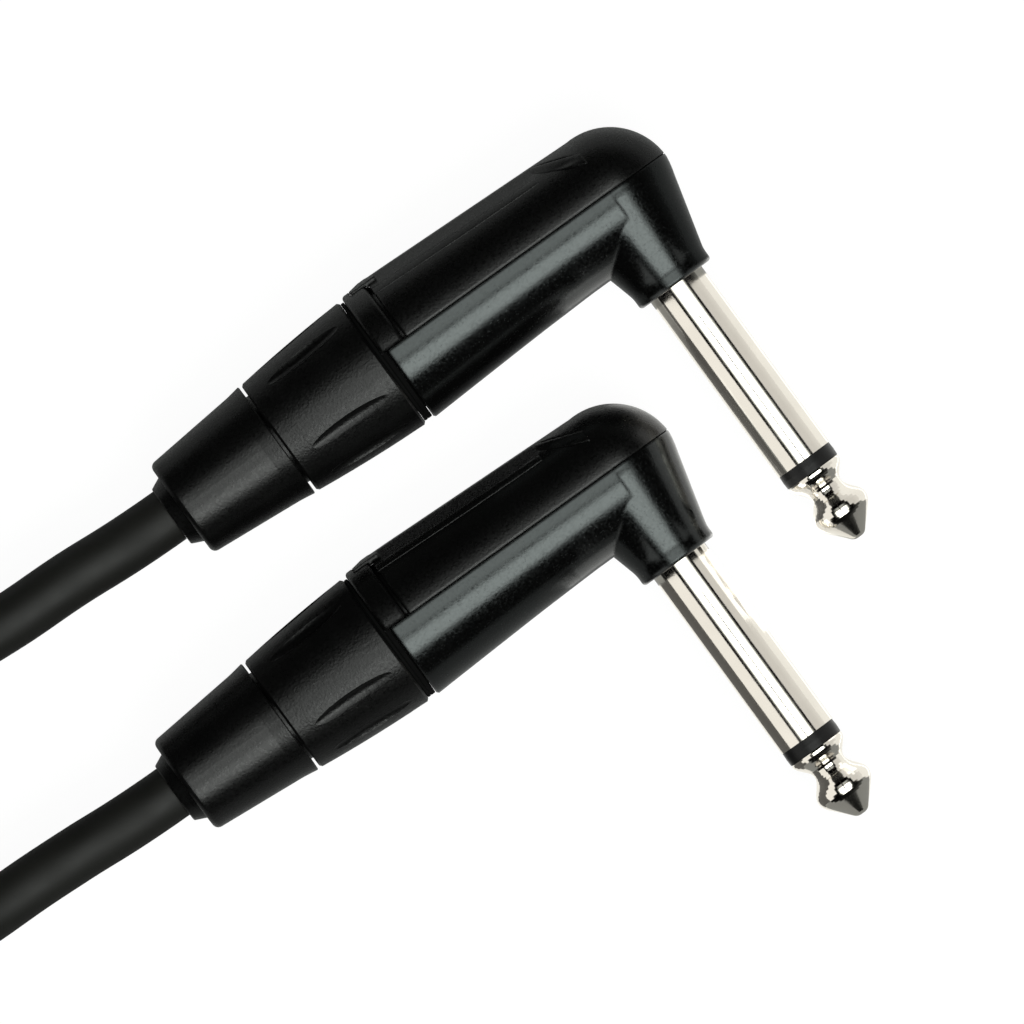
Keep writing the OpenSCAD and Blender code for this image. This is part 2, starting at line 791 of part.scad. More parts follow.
// Outline of a rectangle with round corners.
function rounded(x0, y0, x1, y1, r) = concat(
    arc(x1 - r, y1 - r, r, 0, 90, 4), arc(x0 + r, y1 - r, r, 90, 180, 4),
    arc(x0 + r, y0 + r, r, 180, 270, 4), arc(x1 - r, y0 + r, r, 270, 360, 4)
);

// Two straps that hold the coil's turns together.
module coil_ties() color(ring_black) {
    half = tie_w / 2;
    inside = sqrt(pow(coil_in_r - cable_r, 2) - half * half) - easing;
    outside = coil_out_r + cable_r + easing;
    top = coil_top + easing;
    fold = 2;
    for (angle = [120, 240])
        translate([-coil_x, coil_y, 0]) rotate([0, 0, angle]) down()
            translate([0, 0, -half]) linear_extrude(tie_w) difference() {
                polygon(rounded(inside - tie_t, 0, outside + tie_t, top + tie_t, fold + tie_t));
                polygon(rounded(inside, tie_t - press, outside, top, fold));
            }
}

// ---------- parts ----------

at_a() housing();  // housing_a
at_a() cover();  // cover_a
at_a() collar();  // collar_a
at_a() clamp_nut();  // clamp_nut_a
at_a() boot();  // boot_a
at_a() collet();  // collet_a
at_a() barrel();  // barrel_a
at_a() insulator();  // insulator_a
at_a() tip();  // tip_a
at_a() insulating_washer();  // insulating_washer_a
at_a() tip_tag();  // tip_tag_a
at_a() ground_tag();  // ground_tag_a
at_a() cable_end();  // cable_end_a
at_a() core();  // core_a
at_a() screen();  // screen_a
at_a() solder();  // solder_a
at_b() housing();  // housing_b
at_b() cover();  // cover_b
at_b() collar();  // collar_b
at_b() clamp_nut();  // clamp_nut_b
at_b() boot();  // boot_b
at_b() collet();  // collet_b
at_b() barrel();  // barrel_b
at_b() insulator();  // insulator_b
at_b() tip();  // tip_b
at_b() insulating_washer();  // insulating_washer_b
at_b() tip_tag();  // tip_tag_b
at_b() ground_tag();  // ground_tag_b
at_b() cable_end();  // cable_end_b
at_b() core();  // core_b
at_b() screen();  // screen_b
at_b() solder();  // solder_b
cord_lead_a();
cord_lead_b();
cord_coil();
coil_ties();
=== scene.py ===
import math

import bmesh
import bpy
from mathutils import Matrix, Vector


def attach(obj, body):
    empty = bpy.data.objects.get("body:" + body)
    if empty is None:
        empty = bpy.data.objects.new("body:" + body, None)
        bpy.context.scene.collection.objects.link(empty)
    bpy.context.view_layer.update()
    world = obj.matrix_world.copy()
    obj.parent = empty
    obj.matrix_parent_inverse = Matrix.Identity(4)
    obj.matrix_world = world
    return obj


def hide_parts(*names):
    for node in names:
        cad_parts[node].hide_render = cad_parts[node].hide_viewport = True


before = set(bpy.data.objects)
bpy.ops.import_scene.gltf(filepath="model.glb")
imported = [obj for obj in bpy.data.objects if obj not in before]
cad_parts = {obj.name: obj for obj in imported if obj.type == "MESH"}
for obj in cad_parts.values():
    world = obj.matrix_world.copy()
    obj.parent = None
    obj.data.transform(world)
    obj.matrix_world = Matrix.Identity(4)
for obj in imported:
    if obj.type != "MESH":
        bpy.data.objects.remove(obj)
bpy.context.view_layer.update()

bl_info = {
    "name": "Instrument cable",
    "version": (1, 0, 0),
    "blender": (4, 5, 0),
    "location": "View3D > Sidebar > Cable",
    "description": "A coiled instrument cable with a right-angle plug at each end",
    "category": "Object",
}

MM = 0.001

# The sizes that are named here and below are in millimetres, and the angles in degrees.

# Where the axes of body and pin cross in each plug
PLUGS = {"a": Vector((32.375, 28.875, 7.7766)), "b": Vector((16.075, 5.975, 7.7766))}
# Distances behind the pin's axis: where the shell starts to widen, its middle, and the ends
# of cover, shell, shoulder, collar's tube and cuff
FLARE = 7.2
SHELL_MID = 14.4
COVER_END = 25.3
SHELL_END = 27.8
SEAT = 28.75
TUBE_END = 34.8
MOUTH = 55.35
# Radii of the shell at its front, middle and rear, of the collar's shoulder and of its tube
SHELL_FRONT = 6.92
SHELL_MIDDLE = 7.09
SHELL_REAR = 7.6
SHOULDER = 7.1
TUBE = 6.2
# Height of the seam over the pin's axis, and its rise along the cable
SEAM = 0.42
SEAM_RISE = 0.00925


def linear(hex_colour):
    """Turns an sRGB hex colour to the linear one that shaders take."""
    channels = [int(hex_colour[i:i + 2], 16) / 255 for i in (0, 2, 4)]
    return [c / 12.92 if c <= 0.04045 else ((c + 0.055) / 1.055) ** 2.4 for c in channels]


def colour(name, description, hex_colour):
    return bpy.props.FloatVectorProperty(
        name=name, description=description, subtype="COLOR", size=3, min=0, max=1,
        default=linear(hex_colour))


def length(name, description, millimetres, low=0.0):
    return bpy.props.FloatProperty(
        name=name, description=description, unit="LENGTH", subtype="DISTANCE", min=low,
        default=millimetres * MM)


# ---------- sizes and colours ----------

class CableSizes(bpy.types.PropertyGroup):
    """Sizes of the cable, its coil, its ties and its threads."""

    cord_diameter: length("Cable", "Diameter of the cable's jacket", 5.9, 0.001)
    cord_length: length("Cable length", "Length of the cable between the plugs", 2993)
    coil_pitch: length("Coil pitch", "Distance between neighbouring turns", 6.35)
    coil_outer: length("Coil radius", "Radius of the coil's outermost turn", 42.47474)
    tie_width: length("Tie width", "Width of a tie strap", 8)
    tie_thickness: length("Tie thickness", "Thickness of a tie strap", 0.96)
    thread_pitch: length("Thread pitch", "How far the clamping nut moves in a turn", 1.5)
    thread_depth: length("Thread depth", "Depth of the collar's thread", 0.55)


class CableColours(bpy.types.PropertyGroup):
    """Colours of the plugs, the cable and its ties."""

    shell: colour("Shell", "Polished moulding of the lower shell", "050505")
    cover: colour("Cover", "Satin moulding of the upper cover and the collar", "060606")
    nut: colour("Nut", "Eroded moulding of the clamping nut", "070707")
    boot: colour("Boot", "Rubber of the boot", "070707")
    # Painted shade: a near-black filler that stands in for the shade inside the seams, round the
    # tongue and in the groove beside the nut
    seal: colour("Seal", "Rubber in the seams and in the groove beside the nut", "020202")
    jacket: colour("Jacket", "Soft jacket of the cable", "141412")
    tie: colour("Tie", "Rubber of the tie straps", "101011")
    nickel: colour("Nickel", "Plating of the pin", "d8d3ca")
    insulator: colour("Insulator", "Black ring of the pin", "0a0a0a")
    fibre: colour("Fibre", "Washer between the solder tags", "5a3524")
    tin: colour("Tin", "Plating of the solder tags", "bab8b0")
    acetal: colour("Acetal", "Collet under the nut", "d6d2c6")
    core: colour("Core", "Insulation of the inner conductor", "8d2b27")
    copper: colour("Copper", "Bare wires of the screen", "b8704a")
    solder: colour("Solder", "Set solder on the tags", "c6c6c2")


class StudioSettings(bpy.types.PropertyGroup):
    """Lens, floor and lights of the studio."""

    focal_length: bpy.props.FloatProperty(
        name="Focal length", description="Long lens, for a view with little perspective",
        unit="CAMERA", default=1000, min=50)
    field: length("Field", "Width of the view at the height of the pins", 104.07)
    softbox: bpy.props.FloatProperty(
        name="Softbox", description="Brightness of the overhead softbox", default=7.6, min=0)
    card: bpy.props.FloatProperty(
        name="Cards", description="Brightness of the small cards beside the pins", default=1.25,
        min=0)
    floor: colour("Floor", "Paper that the cable lies on", "9a9a9a")


def settings(context):
    scene = context.scene
    return scene.cable_sizes, scene.cable_colours, scene.cable_studio


# ---------- materials ----------

# Most of a noise texture's values lie between these two
NOISE_LOW = 0.3
NOISE_HIGH = 0.7


def add_node(tree, kind, inputs=None, **attributes):
    """Adds a node with its settings; an input is a value, an output, or a node's first output."""
    node = tree.nodes.new(kind)
    for key, value in attributes.items():
        setattr(node, key, value)
    for key, value in (inputs or {}).items():
        if isinstance(value, bpy.types.Node):
            value = value.outputs[0]
        if isinstance(value, bpy.types.NodeSocket):
            tree.links.new(value, node.inputs[key])
        else:
            node.inputs[key].default_value = value
    return node


def per_mm(size):
    """Scale of a texture whose features are that many millimetres across."""
    return 1 / (size * MM)


def start_material(name, base, metallic=0.0, ior=None, gloss=None):
    """A material with one Principled shader, its tree, that shader and object coordinates."""
    material = bpy.data.materials.new(name)
    material.use_nodes = True
    material.diffuse_color = (*base, 1)
    tree = material.node_tree
    tree.nodes.clear()
    output = add_node(tree, "ShaderNodeOutputMaterial")
    shader = add_node(tree, "ShaderNodeBsdfPrincipled", {
        "Base Color": (*base, 1), "Metallic": metallic})
    if ior:
        shader.inputs["IOR"].default_value = ior
    if gloss:
        shader.inputs["Specular IOR Level"].default_value = gloss
    tree.links.new(shader.outputs[0], output.inputs[0])
    place = add_node(tree, "ShaderNodeTexCoord").outputs["Object"]
    return material, tree, shader, place


def grain(tree, place, size, height, normal=None, detail=2.0, stretch=None):
    """A noisy relief: features of a size in millimetres and a height in micrometres."""
    if stretch:
        place = add_node(tree, "ShaderNodeMapping", {"Vector": place, "Scale": stretch}).outputs[0]
    noise = add_node(tree, "ShaderNodeTexNoise", {
        "Vector": place, "Scale": per_mm(size), "Detail": detail})
    inputs = {"Height": noise, "Distance": height * 1e-6, "Strength": 1.0}
    if normal:
        inputs["Normal"] = normal
    return add_node(tree, "ShaderNodeBump", inputs).outputs[0]


def uneven(tree, place, size, low, high):
    """A number that drifts between two values over a size in millimetres."""
    noise = add_node(tree, "ShaderNodeTexNoise", {
        "Vector": place, "Scale": per_mm(size), "Detail": 3.0})
    return add_node(tree, "ShaderNodeMapRange", {
        "Value": noise, "From Min": NOISE_LOW, "From Max": NOISE_HIGH,
        "To Min": low, "To Max": high}).outputs[0]


def tinted(tree, place, size, base, share):
    """A colour that drifts around its base by a share, over a size in millimetres."""
    noise = add_node(tree, "ShaderNodeTexNoise", {
        "Vector": place, "Scale": per_mm(size), "Detail": 4.0})
    ramp = add_node(tree, "ShaderNodeValToRGB", {"Fac": noise})
    dark, pale = ramp.color_ramp.elements
    dark.position, pale.position = NOISE_LOW, NOISE_HIGH
    dark.color = (*[c * (1 - share) for c in base], 1)
    pale.color = (*[min(1, c * (1 + share)) for c in base], 1)
    return ramp.outputs[0]


def polished_abs(name, base):
    """ABS from a polished mould: a clear, slightly uneven gloss with a fine orange peel."""
    material, tree, shader, place = start_material(name, base, ior=1.42)
    edges = add_node(tree, "ShaderNodeBevel", {"Radius": 0.45 * MM}, samples=6).outputs[0]
    # the moulding sinks a little as it cools, in dips 9 mm wide
    drift = grain(tree, place, 9.0, 14.0, edges, 1.0)
    # the melt ran along the shell and left faint streaks 1 mm wide
    streaks = grain(tree, place, 1.0, 5.0, drift, 2.0, stretch=(0.05, 1.0, 1.0))
    # the mould's polish leaves grains of 0.05 mm; drawn at 0.26 mm so that they show
    tree.links.new(grain(tree, place, 0.26, 8.5, streaks, 3.0), shader.inputs["Normal"])
    tree.links.new(uneven(tree, place, 0.28, 0.1, 0.29), shader.inputs["Roughness"])
    tree.links.new(tinted(tree, place, 3.0, base, 0.2), shader.inputs["Base Color"])
    shader.inputs["Specular Tint"].default_value = (*linear("f4fdfd"), 1)
    return material


def satin_abs(name, base):
    """ABS from a blasted mould: a soft sheen that fades evenly, and a fine grain."""
    material, tree, shader, place = start_material(name, base, ior=1.42)
    edges = add_node(tree, "ShaderNodeBevel", {"Radius": 0.4 * MM}, samples=6).outputs[0]
    # blasting leaves pits of 0.08 mm; drawn at 0.25 mm so that they show
    tree.links.new(grain(tree, place, 0.25, 18.0, edges, 3.0), shader.inputs["Normal"])
    tree.links.new(uneven(tree, place, 0.3, 0.24, 0.36), shader.inputs["Roughness"])
    tree.links.new(tinted(tree, place, 4.0, base, 0.2), shader.inputs["Base Color"])
    return material


def eroded_nylon(name, base):
    """Nylon from a spark-eroded mould: a broad grey sheen broken by a dense, even grain."""
    material, tree, shader, place = start_material(name, base, ior=1.42, gloss=0.3)
    # spark erosion leaves craters of 0.1 mm; drawn at 0.26 mm so that they show
    tree.links.new(grain(tree, place, 0.26, 36.0, detail=4.0), shader.inputs["Normal"])
    tree.links.new(uneven(tree, place, 0.3, 0.26, 0.4), shader.inputs["Roughness"])
    tree.links.new(tinted(tree, place, 2.5, base, 0.25), shader.inputs["Base Color"])
    return material


def moulded_rubber(name, base):
    """Thermoplastic rubber from a grained mould: matte, with a wide dull sheen."""
    material, tree, shader, place = start_material(name, base, ior=1.42, gloss=0.33)
    # the mould's grain of 0.1 mm is drawn at 0.26 mm so that it shows
    tree.links.new(grain(tree, place, 0.26, 20.0, detail=3.0), shader.inputs["Normal"])
    tree.links.new(uneven(tree, place, 0.35, 0.24, 0.35), shader.inputs["Roughness"])
    tree.links.new(tinted(tree, place, 3.0, base, 0.2), shader.inputs["Base Color"])
    return material


def extruded_pvc(name, base):
    """Soft PVC drawn through a die: matte and even, with faint scuffs."""
    material, tree, shader, place = start_material(name, base, ior=1.46, gloss=0.26)
    # the die leaves marks of 0.05 mm; drawn at 0.35 mm so that they show
    tree.links.new(grain(tree, place, 0.35, 6.0, detail=3.0), shader.inputs["Normal"])
    tree.links.new(uneven(tree, place, 4.0, 0.52, 0.62), shader.inputs["Roughness"])
    tree.links.new(tinted(tree, place, 6.0, base, 0.12), shader.inputs["Base Color"])
    return material


def plated_nickel(name, base):
    """Turned brass with bright nickel: a mirror along the pin, faint turning marks round it."""
    material, tree, shader, place = start_material(name, base, metallic=1.0)
    # the tool's feed of 0.05 mm is drawn at 0.2 mm so that it shows
    turning = grain(tree, place, 0.2, 0.35, detail=2.0, stretch=(0.06, 1.0, 0.06))
    # the plating adds a fine ripple that frays reflections
    tree.links.new(grain(tree, place, 0.22, 1.9, turning, 2.0), shader.inputs["Normal"])
    tree.links.new(uneven(tree, place, 2.0, 0.08, 0.13), shader.inputs["Roughness"])
    tree.links.new(tinted(tree, place, 3.0, base, 0.03), shader.inputs["Base Color"])
    return material


def plain_plastic(name, base, roughness, size=0.4, height=4.0, gloss=None):
    """A small moulded or punched piece of plastic, rubber or fibre, with a light grain."""
    material, tree, shader, place = start_material(name, base, ior=1.5, gloss=gloss)
    tree.links.new(grain(tree, place, size, height), shader.inputs["Normal"])
    tree.links.new(uneven(tree, place, 1.5, roughness - 0.05, roughness + 0.05),
                   shader.inputs["Roughness"])
    tree.links.new(tinted(tree, place, 1.5, base, 0.12), shader.inputs["Base Color"])
    return material


def soft_metal(name, base, roughness, size, height, stretch=None):
    """Tin, solder or bare copper: dull metal with a small relief of its own."""
    material, tree, shader, place = start_material(name, base, metallic=1.0)
    tree.links.new(grain(tree, place, size, height, stretch=stretch), shader.inputs["Normal"])
    tree.links.new(uneven(tree, place, 0.8, roughness - 0.07, roughness + 0.07),
                   shader.inputs["Roughness"])
    tree.links.new(tinted(tree, place, 0.8, base, 0.15), shader.inputs["Base Color"])
    return material


def painted_card(name, base):
    """Card painted an even black, with the soft shine of the paint."""
    return start_material(name, base)[0]


def material_named(name, make, *arguments):
    """One material serves every piece of its kind."""
    return bpy.data.materials.get(name) or make(name, *arguments)


def dress(node_name, material):
    """Gives a node of the frame its material."""
    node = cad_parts[node_name]
    if not node.material_slots:
        node.data.materials.append(None)
    for material_slot in node.material_slots:
        material_slot.link = "OBJECT"
        material_slot.material = material


# ---------- shapes ----------

def new_piece(name, data, material, body):
    """Adds a piece of the visual model that rides on a body."""
    piece = bpy.data.objects.new(name, data)
    bpy.context.scene.collection.objects.link(piece)
    data.materials.append(material)
    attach(piece, body)
    return piece


def smooth(mesh, angle=40):
    mesh.polygons.foreach_set("use_smooth", [True] * len(mesh.polygons))
    mesh.set_sharp_from_angle(angle=math.radians(angle))


def finished_mesh(bm, name):
    """Turns built faces to a smooth mesh, with their outer sides out."""
    bmesh.ops.recalc_face_normals(bm, faces=bm.faces)
    mesh = bpy.data.meshes.new(name)
    bm.to_mesh(mesh)
    bm.free()
    smooth(mesh)
    return mesh


def spaced(first, last, steps):
    """Evenly spaced numbers from the first to the last, both of them included."""
    return [first + (last - first) * i / steps for i in range(steps + 1)]


def band(bm, near, far):
    """Fills the band between two rings of corners."""
    for i in range(len(near)):
        j = (i + 1) % len(near)
        bm.faces.new((near[i], near[j], far[j], far[i]))


def sweep(bm, stations, closed):
    """Joins rings of points into a tube; the ends of an open one are capped."""
    rings = [[bm.verts.new(point) for point in ring] for ring in stations]
    for near, far in zip(rings, rings[1:] + ([rings[0]] if closed else [])):
        band(bm, near, far)
    if not closed:
        bm.faces.new(rings[0][::-1])
        bm.faces.new(rings[-1])


def plug_point(middle, x, y, z):
    """A point of a plug in metres, from millimetres round the crossing of its axes."""
    return (middle + Vector((x, y, z))) * MM


# ---------- cord ----------

# The coil: middle of its foot, turns, layers, angle of its first point, height of its lowest
# layer, and the part of a turn over which the cable climbs to the next layer
COIL_CENTRE = Vector((-125, 14, 0))
COIL_TURNS = 14 + 255 / 360
LAYERS = 4
START_ANGLE = 315
BOTTOM = 3.95
CLIMB = 0.5
POINTS_PER_TURN = 20
# How far before the coil the cable already runs straight into it, at two points
RUN_IN = (13.9, 5.9)
# Behind each plug the cable leaves the cuff almost straight and then bends a little towards the
# cover's side: (behind the pin's axis, aside)
LEAVING = ((MOUTH, 0.22), (57.2, 0.25), (61.4, 0.42), (67.3, 0.85), (75.6, 1.15))
# Points of the free cable between each plug and the coil
LEAD_A = [(-52, 31, 9.7), (-61, 33, 12.7), (-70, 35.8, 16), (-79, 39.2, 19.3)]
LEAD_B = [(-66, 6.9, 5.8), (-72, 5, 5), (-78.7, 0.3, 4.3)]


def coil_point(turns, pitch, outer):
    """A point of the coil after so many turns: it spirals in and out, a layer at a time."""
    per_layer = COIL_TURNS / LAYERS
    layer = min(int(turns / per_layer), LAYERS - 1)
    along = (turns - layer * per_layer) * pitch
    inner = outer - per_layer * pitch
    radius = outer - along if layer % 2 == 0 else inner + along
    climb = 0
    for step in range(1, LAYERS):
        share = min(max((turns - step * per_layer + CLIMB / 2) / CLIMB, 0), 1)
        climb += (1 - math.cos(math.pi * share)) / 2
    angle = math.radians(START_ANGLE - 360 * turns)
    return COIL_CENTRE + Vector((radius * math.cos(angle), radius * math.sin(angle),
                                 BOTTOM + pitch * climb))


def cord_route(pitch, outer):
    """The cable's middle line in millimetres, from one plug through the coil to the other."""
    def near_plug(plug):
        return [PLUGS[plug] + Vector((-back, aside, 0)) for back, aside in LEAVING]

    def end_of_coil(turns, towards):
        point = coil_point(turns, pitch, outer)
        way = (point - coil_point(turns + towards * 0.001, pitch, outer)).normalized()
        return [point + way * distance for distance in RUN_IN]

    steps = round(COIL_TURNS * POINTS_PER_TURN)
    coil = [coil_point(COIL_TURNS * (1 - i / steps), pitch, outer) for i in range(steps + 1)]
    head = near_plug("a") + [Vector(p) for p in LEAD_A] + end_of_coil(COIL_TURNS, -1)
    tail = near_plug("b") + [Vector(p) for p in LEAD_B] + end_of_coil(0, 1)
    return head + coil + tail[::-1]


class CABLE_OT_cord(bpy.types.Operator):
    """Add the cable from plug to plug, with its coil"""

    bl_idname = "cable.cord"
    bl_label = "Cable"

    def execute(self, context):
        sizes, colours, _ = settings(context)
        route = cord_route(sizes.coil_pitch / MM, sizes.coil_outer / MM)
        curve = bpy.data.curves.new("cable_cord", "CURVE")
        curve.dimensions = "3D"
        curve.bevel_depth = sizes.cord_diameter / 2
        curve.bevel_resolution = 6
        curve.resolution_u = 5
        curve.use_fill_caps = True
        spline = curve.splines.new("BEZIER")
        spline.bezier_points.add(len(route) - 1)
        for point, place in zip(spline.bezier_points, route):
            point.co = place * MM
            point.handle_left_type = point.handle_right_type = "AUTO"
        jacket = material_named("extruded_soft_pvc", extruded_pvc, colours.jacket)
        cord = new_piece("cable_cord", curve, jacket, "cable")
        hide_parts("cord_lead_a", "cord_lead_b", "cord_coil")
        for plug in PLUGS:
            dress(f"cable_end_{plug}", jacket)
        return {"FINISHED"}


# ---------- ties ----------

# The straps: where they cross the coil; how far from its centre their inner and outer runs lie,
# the heights of their lower and upper runs, and the radius of their corners
TIE_ANGLES = (120, 240)
TIE_INNER = 14.87
TIE_OUTER = 46.22
TIE_LOW = 0.5
TIE_HIGH = 26.75
TIE_FOLD = 2.5
# A strap's section, with a bead along each edge: what its edges lose across and out, how far in
# from an edge the bead's top ends and its foot lies, and the bead's height
EDGE_CUT = (0.35, 0.3)
BEAD_TOP = 1.0
BEAD_FOOT = 1.3
BEAD_HEIGHT = 0.22
# The free end, which lies on the strap's own outer run: distances of its two sides from the
# coil's centre, how much narrower it is on each side, and (height, how far it stands out)
TAIL_UNDER = 46.6
TAIL_OVER = 46.72
TAIL_INSET = 0.6
TAIL = ((7.0, 0.35), (8.2, 0.8), (20.5, 0.8), (22.0, 0.5))
# The stud that holds it: distance of its foot, its height, and (how far out, radius)
STUD_FOOT = 46.4
STUD_HEIGHT = 13.6
STUD_SIDES = 20
STUD = ((0.0, 1.1), (1.35, 1.1), (1.4, 1.9), (1.7, 2.05), (1.95, 1.8), (2.05, 0.8))


def strap_line():
    """A rounded rectangle round the coil's section: (distance and height, the way out of it)."""
    inner, outer = TIE_INNER + TIE_FOLD, TIE_OUTER - TIE_FOLD
    low, high = TIE_LOW + TIE_FOLD, TIE_HIGH - TIE_FOLD
    line = []
    for x, z, start in ((outer, high, 0), (inner, high, 90), (inner, low, 180), (outer, low, 270)):
        for angle in map(math.radians, spaced(start, start + 90, 5)):
            way = Vector((math.cos(angle), math.sin(angle)))
            line.append((Vector((x, z)) + way * TIE_FOLD, way))
    return line


def strap_profile(width, thickness):
    """A strap's section with a low bead along each edge: (across, outwards)."""
    half, top = width / 2, thickness / 2
    cut, out = EDGE_CUT
    right = [(half - cut, -top), (half, -top + out), (half, top - out), (half - cut, top),
             (half - BEAD_TOP, top), (half - BEAD_FOOT, top - BEAD_HEIGHT)]
    return right + [(-across, rise) for across, rise in reversed(right)]


def strap(bm, angle, width, thickness):
    """Adds one strap: its loop round the coil's section, its free end and its stud."""
    out = Vector((math.cos(angle), math.sin(angle), 0))
    across = Vector((-out.y, out.x, 0))
    up = Vector((0, 0, 1))

    def place(distance, height, sideways):
        return (COIL_CENTRE + out * distance + up * height + across * sideways) * MM

    section = strap_profile(width, thickness)
    sweep(bm, [[place(at.x + way.x * proud, at.y + way.y * proud, aside)
                for aside, proud in section] for at, way in strap_line()], closed=True)
    tail = []
    for height, rise in TAIL:
        half, over = (width / 2 - TAIL_INSET) * min(1, rise + 0.3), TAIL_OVER + rise
        tail.append([place(TAIL_UNDER, height, -half), place(over, height, -half),
                     place(over, height, half), place(TAIL_UNDER, height, half)])
    sweep(bm, tail, closed=False)
    sweep(bm, [[place(STUD_FOOT + proud, STUD_HEIGHT + radius * math.sin(turn),
                      radius * math.cos(turn)) for turn in spaced(0, math.tau, STUD_SIDES)[:-1]]
               for proud, radius in STUD], closed=False)


class CABLE_OT_ties(bpy.types.Operator):
    """Add the two rubber straps that hold the coil"""

    bl_idname = "cable.ties"
    bl_label = "Ties"

    def execute(self, context):
        sizes, colours, _ = settings(context)
        bm = bmesh.new()
        for angle in TIE_ANGLES:
            strap(bm, math.radians(angle), sizes.tie_width / MM, sizes.tie_thickness / MM)
        rubber = material_named("moulded_tie_rubber", moulded_rubber, colours.tie)
        straps = new_piece("coil_straps", finished_mesh(bm, "coil_straps"), rubber, "cable")
        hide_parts("coil_ties")
        return {"FINISHED"}


# ---------- shells and covers ----------

# The cover's nose: its radius, how far behind the pin's axis its middle lies, and its lift
NOSE = 7
NOSE_BACK = 0.1
NOSE_LIFT = 0.08
# The cover's spine: height, rise and half width; slope and depth of the flats beside it
SPINE = 7.04
SPINE_RISE = math.tan(math.radians(2.13))
SPINE_HALF = 1.1
FLANK = math.tan(math.radians(28.5))
FLANK_DEPTH = 1.3
# The crest in front of the flats: its height at the pin's axis, where it ends behind it and how
# far over the spine it reaches there
CREST = 5.3
CREST_END = 5.3
CREST_OVER = 0.2
CREST_SLOPE = (SPINE + CREST_OVER - CREST) / CREST_END
# The fillets: how far they stand over the cover and reach into it, where the fillets of the
# crest start and end, and where those of the flats start
FILLET_LIFT = 0.004
FILLET_BURIED = 0.25
CREST_FILLET = (0.05, 5.25)
FLAT_FILLET_START = 5.2


def shell_radius(back):
    """Radius of the shell at a place behind the pin's axis: even at first, then ever wider."""
    if back < FLARE:
        return SHELL_FRONT
    near, far, low, high = (
        (FLARE, SHELL_MID, SHELL_FRONT, SHELL_MIDDLE) if back < SHELL_MID else
        (SHELL_MID, SHELL_END, SHELL_MIDDLE, SHELL_REAR))
    return low + (high - low) * (back - near) / (far - near)


def body_radius(back, turn):
    """Radius of the cover's round body and nose, at an angle from the spine."""
    nose = math.sqrt(max(0, NOSE ** 2 - (back - NOSE_BACK) ** 2)) + NOSE_LIFT * math.cos(turn)
    return max(shell_radius(back), nose)


def crown_radius(back):
    """Radius of the cover's round crown and of the top of its spine."""
    return SPINE + SPINE_RISE * back


def flat_radius(back, turn):
    """Distance from the body's axis to the flat beside the spine, at an angle from the spine."""
    level = crown_radius(back) + SPINE_HALF * FLANK
    return level / (math.cos(turn) + FLANK * math.sin(turn))


def fillet_section(first, last, low, high, steps):
    """A fillet's section, as (radius, angle): it falls from high to low and has a buried foot."""
    top = []
    for i in range(steps + 1):
        share = i / steps
        turn = first + (last - first) * share
        fall = 1 - share * share * (3 - 2 * share)
        base = low(turn)
        top.append((base + max(0, high(turn) - base) * fall + FILLET_LIFT, turn))
    return top + [(low(turn) - FILLET_BURIED, turn) for _, turn in reversed(top)]


def crest_fillet(back):
    """Section of the fillet beside the crest, at a place behind the pin's axis."""
    crown = crown_radius(back)
    edge = math.acos(min(1, (CREST + CREST_SLOPE * back) / crown))
    return fillet_section(
        edge, edge + math.radians(14),
        lambda turn: max(body_radius(back, turn), min(flat_radius(back, turn), crown)),
        lambda turn: crown, 14)


def flat_fillet(back):
    """Section of the fillet at the foot of the flat, at a place behind the pin's axis."""
    edge = math.atan2(SPINE_HALF + FLANK_DEPTH / FLANK, crown_radius(back) - FLANK_DEPTH)
    return fillet_section(
        edge - math.radians(1), edge + math.radians(9),
        lambda turn: body_radius(back, turn), lambda turn: flat_radius(back, turn), 10)


def cover_fillets(bm, middle):
    """Fillets that ease the crest and the feet of the flats beside the spine, on both sides."""
    for side in (1, -1):
        for fillet, places in ((crest_fillet, spaced(*CREST_FILLET, 40)),
                               (flat_fillet, spaced(FLAT_FILLET_START, COVER_END, 30))):
            sweep(bm, [[plug_point(middle, -back, r * math.cos(turn), side * r * math.sin(turn))
                        for r, turn in fillet(back)] for back in places], closed=False)


class CABLE_OT_housings(bpy.types.Operator):
    """Finish the shells and the covers of both plugs"""

    bl_idname = "cable.housings"
    bl_label = "Shells and covers"

    def execute(self, context):
        _, colours, _ = settings(context)
        gloss = material_named("polished_moulded_abs", polished_abs, colours.shell)
        satin = material_named("satin_moulded_abs", satin_abs, colours.cover)
        for plug, middle in PLUGS.items():
            dress(f"housing_{plug}", gloss)
            dress(f"cover_{plug}", satin)
            bm = bmesh.new()
            cover_fillets(bm, middle)
            name = f"cover_fillets_{plug}"
            new_piece(name, finished_mesh(bm, name), satin, f"cover_{plug}")
        return {"FINISHED"}


# ---------- collars ----------

# The thread: how steeply a groove's flanks fall, how much of them the flat crests take, and the
# lengths over which it starts and runs out
THREAD_FALL = 3.2
THREAD_CREST = 0.35
THREAD_START = 0.5
THREAD_RUN_OUT = 0.35
# How finely it is drawn, round the tube and along it
THREAD_SIDES = 72
THREAD_ROWS = 60
# A corner of the mesh is on the tube when it is this close to it
ON_TUBE = 0.02


